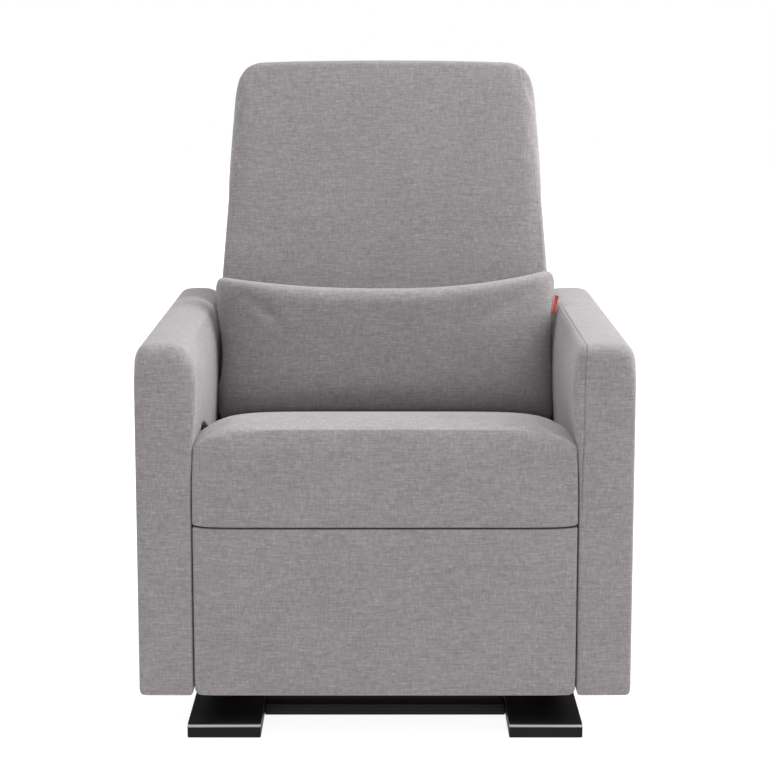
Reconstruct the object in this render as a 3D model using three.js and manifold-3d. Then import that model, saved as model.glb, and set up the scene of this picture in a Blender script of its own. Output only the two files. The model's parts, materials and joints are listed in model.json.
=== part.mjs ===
// Glider nursery chair: padded arms, a hinged back, a fold-out footrest and a loose pillow,
// all on a gliding base.
// Millimetres. +Z is up, the chair faces -Y, and the sitter's left is +X.
// The origin is on the floor under the middle.
import * as THREE from "three";
import { mergeVertices } from "three/addons/utils/BufferGeometryUtils.js";
import Module from "manifold-3d";

const wasm = await Module();
wasm.setup();

// ---- Driving dimensions ----
const GAP = 0.3; // between pieces that touch in the real chair
const FRONT_Y = -432;
const REAR_Y = 432;
const SKIRT_Z = 74; // underside of the arms, the apron and the closed footrest

const ARM = { inner: 308, outer: 395, top: 642, rear: 339, radius: 26, low_radius: 16, edge: 12 };
const ARM_FRAME = {
  inner: 334,
  outer: 364,
  top: 606,
  front: -400,
  rear: 312,
  bottom: SKIRT_Z + 4,
  radius: 18,
};
const APRON = { thick: 26, radius: 6, edge: 4 };

const SEAT = {
  half: 306,
  bottom: 351,
  front_top: 492,
  front_radius: 26,
  front_lean: 4,
  crown: 520,
  crown_y: -345,
  crown_radius: 200,
  rear_top: 442,
  rear_radius: 18,
  low_radius: 16,
  edge: 14,
  shoulder_drop: 42,
  shoulder_run: 50,
  shoulder_radius: 60,
  back_clearance: 6,
};

// The back leans: s runs up it and t runs rearward through it.
// Both start at the point where its front meets the seat.
const LEAN = THREE.MathUtils.degToRad(15);
const BACK = {
  y: 108,
  z: 500,
  bottom: -104,
  top: 596.6,
  half_low: 301,
  half_high: 272,
  taper_from: 180,
  taper_radius: 300,
  corner: 45,
  edge: 24,
  thick: 176.9,
  pocket: 136,
  pocket_half: 262,
  panel: 15,
  panel_edge: 5,
};
const BACK_BOARD = {
  stile_inner: 210,
  stile_outer: 252,
  thick: 22,
  rail_height: 60,
  top: 562,
  bottom: -80,
};
const BACK_HINGE = { y: 216, z: 322, pin: 6, web: 5, strap_top: 40 };

const PILLOW = {
  half: 303,
  rear_low: -52,
  front_low: -66,
  top: 187,
  thick: 138,
  low_radius: 34,
  top_radius: 60,
  edge: 28,
  off_back: 2,
};
const TAG = { y: 76, low: 637, high: 666, reach: 6.5, thick: 1.2 };

// The pull's blade stands in the gap beside the seat cushion. Its grip is a front view [x, z, radius].
const PULL = { y: -330, depth: 12, blade: [-307.6, -306.4], blade_width: 26, low: 372, blade_top: 482 };
const GRIP = [
  [PULL.blade[0], 479, 0],
  [-306.2, 479.5, 0],
  [-286, 496.3, 1],
  [-294.5, 506.5, 1],
  [-299, 490, 2],
  [PULL.blade[0], 484.5, 2],
];

const RAIL = { top: 344, bottom: 304, thick: 22, outer: 307.7, front: -345, rear_rail: 150, corner: 3 };
const SPRING = {
  radius: 2,
  half_width: 24,
  pitch: 42,
  bend: 0.3,
  waist: 0.8,
  seat: 8,
  xs: [-215, -75, 75, 215],
};
const TUBE = { side: 25, low: 312, ys: [-235, 118] };

const RUNNER = {
  inner: 200.5,
  outer: 319,
  front: -425,
  rear: 350,
  low: 3,
  high: 26,
  nose: 9,
  edge: 1.5,
};
const CROSS_RAIL = { low: 3, high: 22, depth: 58, front: -308, rear: 232, corner: 5 };
const PAD = { side: 44, front: -372, rear: 298, x: 260 };

const GLIDE = { upper: 290, lower: 85, y: 120, pin: 5, hole: 5.3, boss: 14 };
const GLIDE_PLATE = { reach: 20, corner: 6, lug: 9 };
const FOOT = { outer: 300, reach: 40, thick: 5, web_corner: 4 };
const BOLT = { x: 288, radius: 7, head: 6, sides: 6 };
const BRACKET_X = [260, 264];
const SWING_X = [268, 273];
const GLIDE_X = [276.5, 280.5];

// Footrest linkage in the side view [y, z], closed.
const P0 = [-312, 288];
const P1 = [-322.4006, 259.8517];
const ELBOW = [-181.3871, 143.2061];
const TAIL = [-190.8704, 110.7856];
const GUIDE = [-167.3556, 169.7222];
const PANEL_PIVOT = [-366, 206];
const PANEL_GUIDE = [-321.034, 238.329];
const LINK = {
  wide: 8,
  pin: 4,
  hole: 4.3,
  open_hole: 6.4,
  rim: 2.5,
  head_thick: 1.4,
  play: 0.6,
  close: 0.4,
};
const PLATE_X = [240.5, 244]; // mechanism plate and footrest link
const OUTER_X = [246, 249.5]; // footrest arm and panel bracket
const INNER_X = [235, 238.5]; // stabiliser link
const CONTROL_X = [251, 254.5]; // control link
const TORQUE = { radius: 12, end: 233 };
const PLATE = { front: -300, pivot: 9, lobe: 20, lobe_ys: [-296, -240], lobe_rise: 18 };
const PANEL_BRACKET = { flange: 3.5, flange_wide: 26, below: 46, above: 26, inset: 6, corner: 2.5 };

const PANEL = { half: 305, top: 346, pad: 35, board: 15, corner: 22, edge: 13, inset: 8 };

const ARC = 16; // segments in a full circle

// ---- Materials ----
const paint = (name, color) => new THREE.MeshStandardMaterial({ name, color });
const FABRIC = 0x9a9596;
const BLACK = 0x1c1b1b;
const WOOD = 0xb08d62;
const STEEL = 0x8d9094;
const RUBBER = 0x202020;
const RED = 0xa02c2c;

// ---- Shape helpers ----
const root = new THREE.Group();

function toSolid(geometry) {
  const bare = geometry.clone();
  bare.deleteAttribute("normal");
  bare.deleteAttribute("uv");
  const merged = mergeVertices(bare, 1e-4);
  const mesh = new wasm.Mesh({
    numProp: 3,
    vertProperties: new Float32Array(merged.attributes.position.array),
    triVerts: new Uint32Array(merged.index.array),
  });
  return new wasm.Manifold(mesh);
}

function toGeometry(solid) {
  const mesh = solid.getMesh();
  return new THREE.BufferGeometry()
    .setAttribute("position", new THREE.BufferAttribute(new Float32Array(mesh.vertProperties), 3))
    .setIndex(new THREE.BufferAttribute(new Uint32Array(mesh.triVerts), 1));
}

function node(name, solid, color) {
  const geometry = toGeometry(solid);
  geometry.computeVertexNormals();
  const mesh = new THREE.Mesh(geometry, paint(name, color));
  mesh.name = name;
  root.add(mesh);
}

// Each side once: side is +1 on the sitter's left (+X) and -1 on the right.
function bothSides(make) {
  make("left", 1);
  make("right", -1);
}

const span = (side, range) => (side > 0 ? [range[0], range[1]] : [-range[1], -range[0]]);

function outline(points) {
  return new THREE.Shape(points.map(([u, v]) => new THREE.Vector2(u, v)));
}

// A polygon whose corners are rounded: corners are [u, v, radius].
function rounded(corners, steps = 4) {
  const points = [];
  corners.forEach(([u, v, radius], i) => {
    const at = new THREE.Vector2(u, v);
    const before = corners[(i + corners.length - 1) % corners.length];
    const after = corners[(i + 1) % corners.length];
    const back = new THREE.Vector2(before[0] - u, before[1] - v).normalize();
    const on = new THREE.Vector2(after[0] - u, after[1] - v).normalize();
    if (!radius) {
      points.push([u, v]);
      return;
    }
    const half = Math.acos(THREE.MathUtils.clamp(back.dot(on), -1, 1)) / 2;
    const reach = radius / Math.tan(half);
    const start = at.clone().addScaledVector(back, reach);
    const end = at.clone().addScaledVector(on, reach);
    const centre = at.clone().addScaledVector(back.clone().add(on).normalize(), radius / Math.sin(half));
    const from = Math.atan2(start.y - centre.y, start.x - centre.x);
    let turn = Math.atan2(end.y - centre.y, end.x - centre.x) - from;
    if (turn > Math.PI) turn -= 2 * Math.PI;
    if (turn < -Math.PI) turn += 2 * Math.PI;
    for (let k = 0; k <= steps; k++) {
      const angle = from + (turn * k) / steps;
      points.push([centre.x + radius * Math.cos(angle), centre.y + radius * Math.sin(angle)]);
    }
  });
  return outline(points);
}

// The convex outline around circles given as [u, v, radius].
function around(circles) {
  const points = [];
  for (const [u, v, radius] of circles) {
    for (let k = 0; k < ARC; k++) {
      const angle = (2 * Math.PI * k) / ARC;
      points.push([u + radius * Math.cos(angle), v + radius * Math.sin(angle)]);
    }
  }
  points.sort((a, b) => a[0] - b[0] || a[1] - b[1]);
  const turns = (a, b, c) => (b[0] - a[0]) * (c[1] - a[1]) - (b[1] - a[1]) * (c[0] - a[0]);
  const chain = (list) => {
    const hull = [];
    for (const p of list) {
      while (hull.length > 1 && turns(...hull.slice(-2), p) <= 1e-6) hull.pop();
      hull.push(p);
    }
    hull.pop();
    return hull;
  };
  return outline([...chain(points), ...chain(points.reverse())]);
}

function withHoles(shape, holes) {
  for (const [u, v, radius] of holes) {
    const hole = new THREE.Path();
    hole.absarc(u, v, radius, 0, 2 * Math.PI, true);
    shape.holes.push(hole);
  }
  return shape;
}

// Extrudes a shape by depth along its own normal, with its end edges rounded by edge.
function extrude(shape, depth, edge = 0) {
  const geometry = new THREE.ExtrudeGeometry(shape, {
    depth: depth - 2 * edge,
    bevelEnabled: edge > 0,
    bevelThickness: edge,
    bevelSize: edge,
    bevelOffset: -edge,
    bevelSegments: 3,
    curveSegments: ARC / 2,
  });
  geometry.translate(0, 0, edge);
  return geometry;
}

const basis = (u, v, w, at) => new THREE.Matrix4().makeBasis(u, v, w).setPosition(at);
const X = new THREE.Vector3(1, 0, 0);
const Y = new THREE.Vector3(0, 1, 0);
const Z = new THREE.Vector3(0, 0, 1);

// A side view [y, z] extruded from x0 to x1.
function fromSide(shape, [x0, x1], edge = 0) {
  const geometry = extrude(shape, x1 - x0, edge);
  return toSolid(geometry.applyMatrix4(basis(Y, Z, X, new THREE.Vector3(x0, 0, 0))));
}

// A front view [x, z] extruded from y0 to y1.
function fromFront(shape, [y0, y1], edge = 0) {
  const geometry = extrude(shape, y1 - y0, edge);
  const rearward = Y.clone().negate();
  return toSolid(geometry.applyMatrix4(basis(X, Z, rearward, new THREE.Vector3(0, y1, 0))));
}

// A shape drawn on the leaning back as [x, s], extruded from t0 to t1 through it.
function fromBack(shape, [t0, t1], edge = 0) {
  const up = new THREE.Vector3(0, Math.sin(LEAN), Math.cos(LEAN));
  const forward = new THREE.Vector3(0, -Math.cos(LEAN), Math.sin(LEAN));
  const at = new THREE.Vector3(0, BACK.y, BACK.z).addScaledVector(forward, -t1);
  return toSolid(extrude(shape, t1 - t0, edge).applyMatrix4(basis(X, up, forward, at)));
}

// The side view [y, z] of a point of the back given as (s, t).
function onBack(s, t) {
  return [
    BACK.y + s * Math.sin(LEAN) + t * Math.cos(LEAN),
    BACK.z + s * Math.cos(LEAN) - t * Math.sin(LEAN),
  ];
}

function box([x0, x1], [y0, y1], [z0, z1]) {
  const geometry = new THREE.BoxGeometry(x1 - x0, y1 - y0, z1 - z0);
  geometry.translate((x0 + x1) / 2, (y0 + y1) / 2, (z0 + z1) / 2);
  return toSolid(geometry);
}

// A round bar along X, at [y, z].
function bar([x0, x1], [y, z], radius) {
  const geometry = new THREE.CylinderGeometry(radius, radius, x1 - x0, ARC);
  geometry.rotateZ(Math.PI / 2);
  geometry.translate((x0 + x1) / 2, y, z);
  return toSolid(geometry);
}

// A rivet starts inside its own plate and ends in a head past the neighbour.
function rivet(side, from, to, at, radius) {
  const head = Math.sign(to - from) * LINK.head_thick;
  const shank = [Math.min(from, to + head), Math.max(from, to + head)];
  const cap = [Math.min(to, to + head), Math.max(to, to + head)];
  return bar(span(side, shank), at, radius).add(bar(span(side, cap), at, radius + LINK.rim));
}

// ---- Base ----
function base() {
  bothSides((name, side) => {
    const profile = rounded([
      [RUNNER.front, RUNNER.low, 0],
      [RUNNER.rear, RUNNER.low, 0],
      [RUNNER.rear, RUNNER.high, RUNNER.nose],
      [RUNNER.front, RUNNER.high, RUNNER.nose],
    ]);
    const across = span(side, [RUNNER.inner, RUNNER.outer]);
    node("base_runner_" + name, fromSide(profile, across, RUNNER.edge), BLACK);
    node("upright_bracket_" + name, uprightBracket(side), STEEL);
    for (const [end, y] of [["front", PAD.front], ["rear", PAD.rear]]) {
      const half = PAD.side / 2;
      const x = side * PAD.x;
      const pad = box([x - half, x + half], [y - half, y + half], [0, RUNNER.low - GAP]);
      node("floor_pad_" + end + "_" + name, pad, RUBBER);
    }
  });
  const across = [-RUNNER.inner + GAP, RUNNER.inner - GAP];
  for (const end of ["front", "rear"]) {
    const y = CROSS_RAIL[end];
    const profile = rounded([
      [y, CROSS_RAIL.low, 0],
      [y + CROSS_RAIL.depth, CROSS_RAIL.low, 0],
      [y + CROSS_RAIL.depth, CROSS_RAIL.high, CROSS_RAIL.corner],
      [y, CROSS_RAIL.high, CROSS_RAIL.corner],
    ]);
    node("base_cross_rail_" + end, fromSide(profile, across), BLACK);
  }
}

// A steel angle: a foot bolted on the runner and a web that carries the two upper pivots.
function uprightBracket(side) {
  const foot_top = RUNNER.high + GAP + FOOT.thick;
  const foot_end = GLIDE.y + FOOT.reach;
  const foot = box(
    span(side, [BRACKET_X[0], FOOT.outer]),
    [-foot_end, foot_end],
    [RUNNER.high + GAP, foot_top],
  );
  const web_shape = around([
    [-GLIDE.y, GLIDE.upper, GLIDE.boss],
    [GLIDE.y, GLIDE.upper, GLIDE.boss],
    [FOOT.web_corner - foot_end, foot_top - 1, FOOT.web_corner],
    [foot_end - FOOT.web_corner, foot_top - 1, FOOT.web_corner],
  ]);
  let solid = fromSide(web_shape, span(side, BRACKET_X)).add(foot);
  for (const y of [-GLIDE.y, GLIDE.y]) {
    const pivot = [y, GLIDE.upper];
    solid = solid.add(rivet(side, BRACKET_X[1] - 1, SWING_X[1] + LINK.play, pivot, GLIDE.pin));
    const bolt = new THREE.CylinderGeometry(BOLT.radius, BOLT.radius, BOLT.head, BOLT.sides);
    bolt.rotateX(Math.PI / 2);
    bolt.translate(side * BOLT.x, y, foot_top + BOLT.head / 2 - 1);
    solid = solid.add(toSolid(bolt));
  }
  return solid;
}

// ---- Glide suspension ----
function swingLinks() {
  bothSides((name, side) => {
    for (const [end, y] of [["front", -GLIDE.y], ["rear", GLIDE.y]]) {
      const shape = withHoles(
        around([
          [y, GLIDE.upper, GLIDE.boss - 1],
          [y, GLIDE.lower, GLIDE.boss - 1],
        ]),
        [
          [y, GLIDE.upper, GLIDE.hole],
          [y, GLIDE.lower, GLIDE.hole],
        ],
      );
      node("swing_link_" + end + "_" + name, fromSide(shape, span(side, SWING_X)), STEEL);
    }
  });
}

function glidePlates() {
  const top = RAIL.top - 10;
  bothSides((name, side) => {
    const shape = around([
      [-GLIDE.y, GLIDE.lower, GLIDE.boss],
      [GLIDE.y, GLIDE.lower, GLIDE.boss],
      [-GLIDE.y - GLIDE_PLATE.reach, top - GLIDE_PLATE.corner, GLIDE_PLATE.corner],
      [GLIDE.y + GLIDE_PLATE.reach, top - GLIDE_PLATE.corner, GLIDE_PLATE.corner],
    ]);
    let solid = fromSide(shape, span(side, GLIDE_X));
    for (const y of [-GLIDE.y, GLIDE.y]) {
      const pivot = [y, GLIDE.lower];
      solid = solid.add(rivet(side, GLIDE_X[0] + 1, SWING_X[0] - LINK.play, pivot, GLIDE.pin));
      const lug = [GLIDE_X[1] - 1, RAIL.outer - RAIL.thick - GAP];
      solid = solid.add(bar(span(side, lug), [y, (RAIL.bottom + RAIL.top) / 2], GLIDE_PLATE.lug));
    }
    node("glide_plate_" + name, solid, STEEL);
  });
}

// ---- Seat frame ----
function seatFrame() {
  const inner = RAIL.outer - RAIL.thick;
  bothSides((name, side) => {
    const nose = (RAIL.top - RAIL.bottom) / 2;
    const round = nose - 0.5;
    const shape = withHoles(
      rounded([
        [RAIL.front, RAIL.bottom, RAIL.corner],
        [BACK_HINGE.y + nose, RAIL.bottom, round],
        [BACK_HINGE.y + nose, RAIL.top, round],
        [RAIL.front, RAIL.top, RAIL.corner],
      ]),
      [[BACK_HINGE.y, BACK_HINGE.z, BACK_HINGE.pin + GAP]],
    );
    node("seat_side_rail_" + name, fromSide(shape, span(side, [inner, RAIL.outer])), WOOD);
  });
  const across = [-inner + GAP, inner - GAP];
  const rail = (y) => box(across, [y, y + RAIL.thick], [RAIL.bottom, RAIL.top]);
  node("seat_front_rail", rail(RAIL.front), WOOD);
  node("seat_rear_rail", rail(RAIL.rear_rail), WOOD);

  const tube_ends = [inner - GAP, GLIDE_X[0] - GAP];
  ["front", "rear"].forEach((end, i) => {
    const y = TUBE.ys[i];
    const reach = tube_ends[i];
    const half = TUBE.side / 2;
    const tube = box([-reach, reach], [y - half, y + half], [TUBE.low, TUBE.low + TUBE.side]);
    node("cross_tube_" + end, tube, STEEL);
  });
  SPRING.xs.forEach((x, i) => node("seat_spring_" + (i + 1), seatSpring(x), STEEL));
}

// A sinuous spring: a wire that snakes from the front rail to the rear rail.
function seatSpring(x) {
  const z = RAIL.top + GAP + SPRING.radius;
  const start = RAIL.front + SPRING.seat;
  const end = RAIL.rear_rail + RAIL.thick - SPRING.seat;
  const turns = Math.round((end - start) / SPRING.pitch);
  const waist = SPRING.half_width * SPRING.waist;
  const bend = SPRING.pitch * SPRING.bend;
  const points = [];
  for (let k = 0; k <= turns; k++) {
    const out = k % 2 ? 1 : -1;
    const y = start + k * SPRING.pitch;
    points.push(new THREE.Vector3(x + out * waist, y - bend, z));
    points.push(new THREE.Vector3(x + out * SPRING.half_width, y, z));
    points.push(new THREE.Vector3(x + out * waist, y + bend, z));
  }
  const wire = new THREE.Shape();
  wire.absarc(0, 0, SPRING.radius, 0, 2 * Math.PI, false);
  const geometry = new THREE.ExtrudeGeometry(wire, {
    steps: turns * 4,
    bevelEnabled: false,
    curveSegments: 3,
    extrudePath: new THREE.CatmullRomCurve3(points),
  });
  return toSolid(geometry);
}

// ---- Upholstery fixed to the body ----
function seatCushion() {
  const rear = (z) => BACK.y + (z - BACK.z) * Math.tan(LEAN) - SEAT.back_clearance;
  const shape = rounded([
    [FRONT_Y, SEAT.bottom, SEAT.low_radius],
    [rear(SEAT.bottom), SEAT.bottom, SEAT.low_radius],
    [rear(SEAT.rear_top), SEAT.rear_top, SEAT.rear_radius],
    [SEAT.crown_y, SEAT.crown, SEAT.crown_radius],
    [FRONT_Y + SEAT.front_lean, SEAT.front_top, SEAT.front_radius],
  ]);
  const shoulder = SEAT.half - SEAT.shoulder_run;
  const shoulder_low = SEAT.crown - SEAT.shoulder_drop;
  const front_view = rounded([
    [-SEAT.half - 1, SEAT.bottom - 1, 0],
    [SEAT.half + 1, SEAT.bottom - 1, 0],
    [SEAT.half + 1, shoulder_low, 0],
    [shoulder, SEAT.crown, SEAT.shoulder_radius],
    [-shoulder, SEAT.crown, SEAT.shoulder_radius],
    [-SEAT.half - 1, shoulder_low, 0],
  ]);
  const block = fromSide(shape, [-SEAT.half, SEAT.half], SEAT.edge);
  node("seat_cushion", block.intersect(fromFront(front_view, [FRONT_Y - 1, REAR_Y])), FABRIC);
}

function arms() {
  bothSides((name, side) => {
    const shape = rounded([
      [FRONT_Y, SKIRT_Z, ARM.low_radius],
      [ARM.rear, SKIRT_Z, ARM.low_radius],
      [ARM.rear, ARM.top, ARM.radius],
      [FRONT_Y, ARM.top, ARM.radius],
    ]);
    const cover = fromSide(shape, span(side, [ARM.inner, ARM.outer]), ARM.edge);
    const pocket = box(
      span(side, [ARM_FRAME.inner - GAP, ARM_FRAME.outer + GAP]),
      [ARM_FRAME.front - GAP, ARM_FRAME.rear + GAP],
      [SKIRT_Z - 1, ARM_FRAME.top + GAP],
    );
    node("arm_cover_" + name, cover.subtract(pocket), FABRIC);
    const frame = rounded([
      [ARM_FRAME.front, ARM_FRAME.bottom, 0],
      [ARM_FRAME.rear, ARM_FRAME.bottom, 0],
      [ARM_FRAME.rear, ARM_FRAME.top, ARM_FRAME.radius],
      [ARM_FRAME.front, ARM_FRAME.top, ARM_FRAME.radius],
    ]);
    node("arm_frame_" + name, fromSide(frame, span(side, [ARM_FRAME.inner, ARM_FRAME.outer])), WOOD);
  });
  const apron = rounded([
    [-SEAT.half, SKIRT_Z, APRON.radius],
    [SEAT.half, SKIRT_Z, APRON.radius],
    [SEAT.half, RAIL.top, APRON.radius],
    [-SEAT.half, RAIL.top, APRON.radius],
  ]);
  node("rear_apron", fromFront(apron, [ARM.rear - APRON.thick, ARM.rear], APRON.edge), FABRIC);
}

// ---- Back ----
function backrest() {
  const front_view = rounded([
    [-BACK.half_low, BACK.bottom, BACK.corner],
    [BACK.half_low, BACK.bottom, BACK.corner],
    [BACK.half_low, BACK.taper_from, BACK.taper_radius],
    [BACK.half_high, BACK.top, BACK.corner],
    [-BACK.half_high, BACK.top, BACK.corner],
    [-BACK.half_low, BACK.taper_from, BACK.taper_radius],
  ]);
  const panel_front = BACK.thick - BACK.panel;
  const pocket = fromBack(
    outline([
      [-BACK.pocket_half, BACK.bottom - 2],
      [BACK.pocket_half, BACK.bottom - 2],
      [BACK.pocket_half, BACK_BOARD.top + GAP],
      [-BACK.pocket_half, BACK_BOARD.top + GAP],
    ]),
    [BACK.pocket, panel_front + 1],
  );
  const cushion = fromBack(front_view, [0, panel_front], BACK.edge);
  node("back_cushion", cushion.subtract(pocket), FABRIC);
  const panel = fromBack(front_view, [panel_front + GAP, BACK.thick], BACK.panel_edge);
  node("outside_back", panel, FABRIC);

  const board = [BACK.pocket + 1, BACK.pocket + 1 + BACK_BOARD.thick];
  const inner = BACK_BOARD.stile_inner;
  bothSides((name, side) => {
    const [x0, x1] = span(side, [inner, BACK_BOARD.stile_outer]);
    const shape = outline([
      [x0, BACK_BOARD.bottom],
      [x1, BACK_BOARD.bottom],
      [x1, BACK_BOARD.top],
      [x0, BACK_BOARD.top],
    ]);
    node("back_stile_" + name, fromBack(shape, board), WOOD);
    node("back_hinge_bracket_" + name, hingeBracket(side, board), STEEL);
  });
  const lows = { bottom: BACK_BOARD.bottom, top: BACK_BOARD.top - BACK_BOARD.rail_height };
  for (const [end, low] of Object.entries(lows)) {
    const reach = inner - GAP;
    const shape = outline([
      [-reach, low],
      [reach, low],
      [reach, low + BACK_BOARD.rail_height],
      [-reach, low + BACK_BOARD.rail_height],
    ]);
    node("back_rail_" + end, fromBack(shape, board), WOOD);
  }
}

// A steel bar down the outside of a back stile to the hinge, with the hinge pin on it.
function hingeBracket(side, board) {
  const middle = (board[0] + board[1]) / 2;
  const half = BACK_BOARD.thick / 2;
  const knee = [...onBack(BACK_BOARD.bottom - 4, middle), half];
  const strap = around([[...onBack(BACK_HINGE.strap_top, middle), half], knee]);
  const shank = around([knee, [BACK_HINGE.y, BACK_HINGE.z, half + 1]]);
  const web = [BACK_BOARD.stile_outer + GAP, BACK_BOARD.stile_outer + GAP + BACK_HINGE.web];
  const pin_span = span(side, [web[0] + 1, RAIL.outer - 2]);
  const pin = bar(pin_span, [BACK_HINGE.y, BACK_HINGE.z], BACK_HINGE.pin);
  return fromSide(strap, span(side, web)).add(fromSide(shank, span(side, web))).add(pin);
}

// ---- Pillow ----
function pillow() {
  const t_rear = -PILLOW.off_back;
  const t_front = t_rear - PILLOW.thick;
  const shape = rounded([
    [...onBack(PILLOW.front_low, t_front), PILLOW.low_radius],
    [...onBack(PILLOW.rear_low, t_rear), PILLOW.low_radius],
    [...onBack(PILLOW.top, t_rear), PILLOW.top_radius],
    [...onBack(PILLOW.top, t_front), PILLOW.top_radius],
  ]);
  node("lumbar_pillow", fromSide(shape, [-PILLOW.half, PILLOW.half], PILLOW.edge), FABRIC);
  const tag = box(
    [PILLOW.half + GAP, PILLOW.half + GAP + TAG.reach],
    [TAG.y, TAG.y + TAG.thick],
    [TAG.low, TAG.high],
  );
  node("pillow_tag", tag, RED);
}

// ---- Release ----
// A thin blade in the gap beside the seat cushion.
// Its small grip shows above the cushion's corner.
function releasePull() {
  const half = PULL.blade_width / 2;
  const blade = box(PULL.blade, [PULL.y - half, PULL.y + half], [PULL.low, PULL.blade_top]);
  const depth = [PULL.y - PULL.depth / 2, PULL.y + PULL.depth / 2];
  node("release_pull", fromFront(rounded(GRIP), depth).add(blade), BLACK);
}

// ---- Footrest ----
function mechanism() {
  bothSides((name, side) => {
    const on = (range) => span(side, range);
    const wide = LINK.wide;

    const plate_shape = withHoles(
      around([
        [...P0, TORQUE.radius],
        [...P1, PLATE.pivot],
        [PLATE.lobe_ys[0], RAIL.bottom + PLATE.lobe_rise, PLATE.lobe],
        [PLATE.lobe_ys[1], RAIL.bottom + PLATE.lobe_rise, PLATE.lobe],
      ]),
      [[...P0, TORQUE.radius / 2 + GAP]],
    );
    const rail_bar = box(
      on(PLATE_X),
      [PLATE.front, RAIL.rear_rail - GAP],
      [RAIL.bottom + 1, RAIL.top - 2],
    );
    let plate = fromSide(plate_shape, on(PLATE_X)).add(rail_bar);
    for (const y of TUBE.ys) {
      const half = TUBE.side / 2 + GAP;
      const slot = box(
        on([PLATE_X[0] - 1, PLATE_X[1] + 1]),
        [y - half, y + half],
        [TUBE.low - GAP, TUBE.low + TUBE.side + GAP],
      );
      plate = plate.subtract(slot);
    }
    plate = plate.add(rivet(side, PLATE_X[0] + 1, INNER_X[0] - LINK.play, P1, LINK.pin));
    node("mechanism_plate_" + name, plate, STEEL);

    const arm_shape = around([
      [...P0, TORQUE.radius - 1],
      [...ELBOW, wide + 1],
    ]);
    const lobe = around([
      [...ELBOW, wide + 1],
      [...GUIDE, wide],
    ]);
    let arm = fromSide(arm_shape, on(OUTER_X)).add(fromSide(lobe, on(OUTER_X)));
    arm = arm.add(bar(on([TORQUE.end + GAP, OUTER_X[0] + 1]), P0, TORQUE.radius / 2));
    arm = arm.add(rivet(side, OUTER_X[0] + 1, PLATE_X[0] - LINK.close, ELBOW, LINK.pin));
    arm = arm.add(rivet(side, OUTER_X[1] - 1, CONTROL_X[1] + LINK.close, GUIDE, LINK.pin));
    node("footrest_arm_" + name, arm, STEEL);

    const link_shape = around([
      [...ELBOW, wide],
      [...PANEL_PIVOT, wide],
    ]);
    const tail_shape = around([
      [...ELBOW, wide],
      [...TAIL, wide],
    ]);
    const hole = (at) => bar(on([PLATE_X[0] - 1, PLATE_X[1] + 1]), at, LINK.hole);
    let link = fromSide(link_shape, on(PLATE_X)).add(fromSide(tail_shape, on(PLATE_X)));
    link = link.subtract(hole(ELBOW)).subtract(hole(PANEL_PIVOT));
    link = link.add(rivet(side, PLATE_X[0] + 1, INNER_X[0] - LINK.play, TAIL, LINK.pin));
    node("footrest_link_" + name, link, STEEL);

    const stabiliser = withHoles(
      around([
        [...P1, wide],
        [...TAIL, wide],
      ]),
      [
        [...P1, LINK.hole],
        [...TAIL, LINK.hole + 0.3],
      ],
    );
    node("stabiliser_link_" + name, fromSide(stabiliser, on(INNER_X)), STEEL);

    const control = withHoles(
      around([
        [...GUIDE, wide - 1],
        [...PANEL_GUIDE, wide + 1.5],
      ]),
      [
        [...GUIDE, LINK.hole],
        [...PANEL_GUIDE, LINK.open_hole],
      ],
    );
    node("control_link_" + name, fromSide(control, on(CONTROL_X)), STEEL);
    node("footrest_bracket_" + name, panelBracket(side), STEEL);
  });
  node("torque_tube", bar([-TORQUE.end, TORQUE.end], P0, TORQUE.radius), STEEL);
}

const BOARD_REAR = FRONT_Y + PANEL.pad + GAP + PANEL.board;

// An angle screwed to the back of the footrest board: a flange on the board and a web with two pivots.
function panelBracket(side) {
  const wide = LINK.wide;
  const flange_front = BOARD_REAR + GAP;
  const low = PANEL_PIVOT[1] - PANEL_BRACKET.below;
  const high = PANEL_GUIDE[1] + PANEL_BRACKET.above;
  const web_shape = around([
    [...PANEL_PIVOT, wide],
    [...PANEL_GUIDE, wide],
    [flange_front + PANEL_BRACKET.corner, low + PANEL_BRACKET.inset, PANEL_BRACKET.corner],
    [flange_front + PANEL_BRACKET.corner, high - PANEL_BRACKET.inset, PANEL_BRACKET.corner],
  ]);
  const flange = box(
    span(side, [OUTER_X[0], OUTER_X[1] + PANEL_BRACKET.flange_wide]),
    [flange_front, flange_front + PANEL_BRACKET.flange],
    [low, high],
  );
  let solid = fromSide(web_shape, span(side, OUTER_X)).add(flange);
  solid = solid.add(rivet(side, OUTER_X[0] + 1, PLATE_X[0] - LINK.close, PANEL_PIVOT, LINK.pin));
  return solid.add(rivet(side, OUTER_X[1] - 1, CONTROL_X[1] + LINK.close, PANEL_GUIDE, LINK.pin));
}

function footrestPanel() {
  const shape = (half, low, high, corner) =>
    rounded([
      [-half, low, corner],
      [half, low, corner],
      [half, high, corner],
      [-half, high, corner],
    ]);
  const pad = shape(PANEL.half, SKIRT_Z, PANEL.top, PANEL.corner);
  const pad_rear = FRONT_Y + PANEL.pad;
  node("footrest_pad", fromFront(pad, [FRONT_Y, pad_rear], PANEL.edge), FABRIC);
  const inset = PANEL.inset;
  const board = shape(PANEL.half - inset, SKIRT_Z + inset, PANEL.top - inset, PANEL.corner - inset);
  node("footrest_board", fromFront(board, [pad_rear + GAP, BOARD_REAR]), WOOD);
}

base();
swingLinks();
glidePlates();
seatFrame();
seatCushion();
arms();
backrest();
pillow();
releasePull();
mechanism();
footrestPanel();

export default root;
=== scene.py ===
"""Glider nursery chair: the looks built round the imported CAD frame.

Metres, +Z up. The chair faces -Y and the sitter's left is +X. Padded pieces start as rounded lattice
blocks of about the size of their CAD solids, swell under cloth pressure and are then subdivided. The back
and the sitter's left arm are sewn after that.
"""

import json
import math
from collections import namedtuple

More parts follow.
